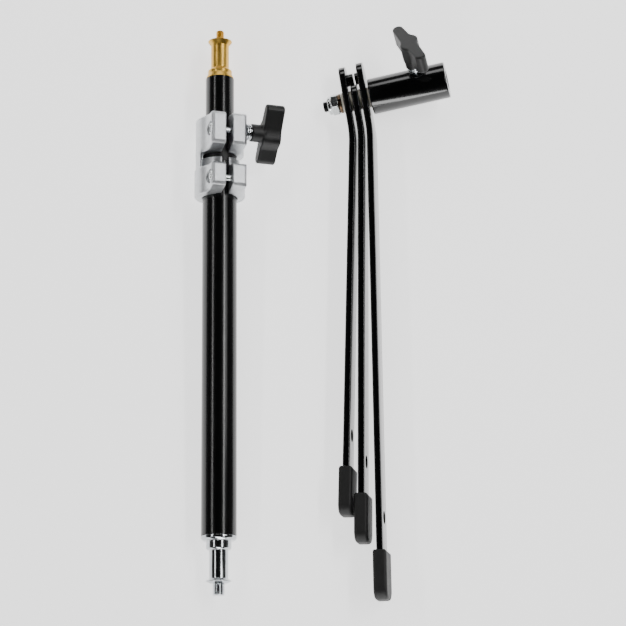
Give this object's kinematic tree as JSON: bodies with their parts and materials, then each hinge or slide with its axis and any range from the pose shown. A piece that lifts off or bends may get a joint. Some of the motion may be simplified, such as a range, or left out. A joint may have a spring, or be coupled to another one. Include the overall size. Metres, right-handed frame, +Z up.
{
  "type": "light stand",
  "caption": "Small light stand in two halves laid side by side: a telescopic column with grip studs and a clamp knob, and a folded tripod base with a stud socket.",
  "frame": {"origin": "centre of the bottom of the bounding box, on the surface both halves lie on", "axes": "+Z up from the surface, +Y along the column towards its brass spigot, +X towards the leg base"},
  "size_m": [0.2248, 0.5028, 0.0825],
  "materials": {
    "black_anodised": "gloss black anodised",
    "cast_aluminium": "blasted casting, satin",
    "bright_turned": "bright turned and plated",
    "brass": "turned, bright",
    "black_enamel": "gloss black enamel on steel",
    "rubber": "matt",
    "black_plastic": "fine moulded texture",
    "nylon": "natural nylon",
    "zinc_steel": "bright zinc plated",
    "spring_steel": "oiled brown steel",
    "black_steel": "blackened steel"
  },
  "bodies": {
    "socket": {"socket_tube": "black_enamel", "pivot_bolt": "black_steel", "lock_nut": "zinc_steel", "spring_washer": "spring_steel", "washer_top": "nylon", "washer_mid": "nylon", "washer_low": "nylon", "washer_end": "nylon"},
    "middle_leg": {"leg_mid": "black_enamel", "foot_mid": "rubber"},
    "lower_leg": {"leg_low": "black_enamel", "foot_low": "rubber"},
    "upper_leg": {"leg_top": "black_enamel", "foot_top": "rubber"},
    "set_pad": {"socket_pad": "brass"},
    "socket_knob": {"socket_knob_wing": "black_plastic", "socket_knob_screw": "bright_turned"},
    "column": {"outer_tube": "black_anodised", "base_spigot": "bright_turned", "collar_casting": "cast_aluminium", "guide_bush": "black_plastic", "collar_bolt": "zinc_steel", "collar_nut": "zinc_steel", "clamp_nut": "zinc_steel"},
    "thrust_washer": {"clamp_washer": "bright_turned"},
    "clamp_knob": {"clamp_knob_wing": "black_plastic", "clamp_knob_screw": "bright_turned"},
    "piston_ring": {"riser_slider": "black_plastic"},
    "riser": {"riser_tube": "black_anodised", "riser_cap": "black_plastic", "top_spigot": "brass"}
  },
  "joints": [
    {"name": "middle_leg_turn", "type": "hinge", "parent": "socket", "child": "middle_leg", "pos_m": [0.0294, 0.19067, 0.016], "axis": [0.9672, 0.165, 0.1933], "continuous": true},
    {"name": "lower_leg_spread", "type": "hinge", "parent": "middle_leg", "child": "lower_leg", "pos_m": [0.0294, 0.19067, 0.016], "axis": [0.9672, 0.165, 0.1933], "range_deg": [-120, 120]},
    {"name": "upper_leg_spread", "type": "hinge", "parent": "middle_leg", "child": "upper_leg", "pos_m": [0.0294, 0.19067, 0.016], "axis": [-0.9672, -0.165, -0.1933], "range_deg": [-120, 120]},
    {"name": "set_pad_slide", "type": "slide", "parent": "socket", "child": "set_pad", "axis": [-0.2525, 0.5372, 0.8048], "range_m": [-0.0025, 0.0025]},
    {"name": "socket_knob_turn", "type": "hinge", "parent": "set_pad", "child": "socket_knob", "pos_m": [0.08011, 0.21047, 0.04256], "axis": [-0.2525, 0.5372, 0.8048], "range_deg": [-720, 720]},
    {"name": "column_aside", "type": "slide", "parent": "socket", "child": "column", "axis": [-1, 0, 0], "range_m": [0, 0.1]},
    {"name": "thrust_washer_slide", "type": "slide", "parent": "column", "child": "thrust_washer", "axis": [0.9395, 0.0224, -0.3419], "range_m": [0, 0.002]},
    {"name": "clamp_knob_turn", "type": "hinge", "parent": "thrust_washer", "child": "clamp_knob", "pos_m": [-0.06664, 0.15177, 0.03742], "axis": [0.9395, 0.0224, -0.3419], "range_deg": [0, 720]},
    {"name": "riser_extend", "type": "slide", "parent": "column", "child": "piston_ring", "axis": [-0.0152, 0.9996, 0.0238], "range_m": [-0.031, 0.225]},
    {"name": "riser_spin", "type": "hinge", "parent": "piston_ring", "child": "riser", "pos_m": [-0.09173, 0.20541, 0.02466], "axis": [-0.0152, 0.9996, 0.0238], "continuous": true}
  ],
  "couplings": [
    {"joint": "set_pad_slide", "follows": "socket_knob_turn", "m_per_rad": 0.00019894},
    {"joint": "thrust_washer_slide", "follows": "clamp_knob_turn", "m_per_rad": 0.00015915}
  ]
}
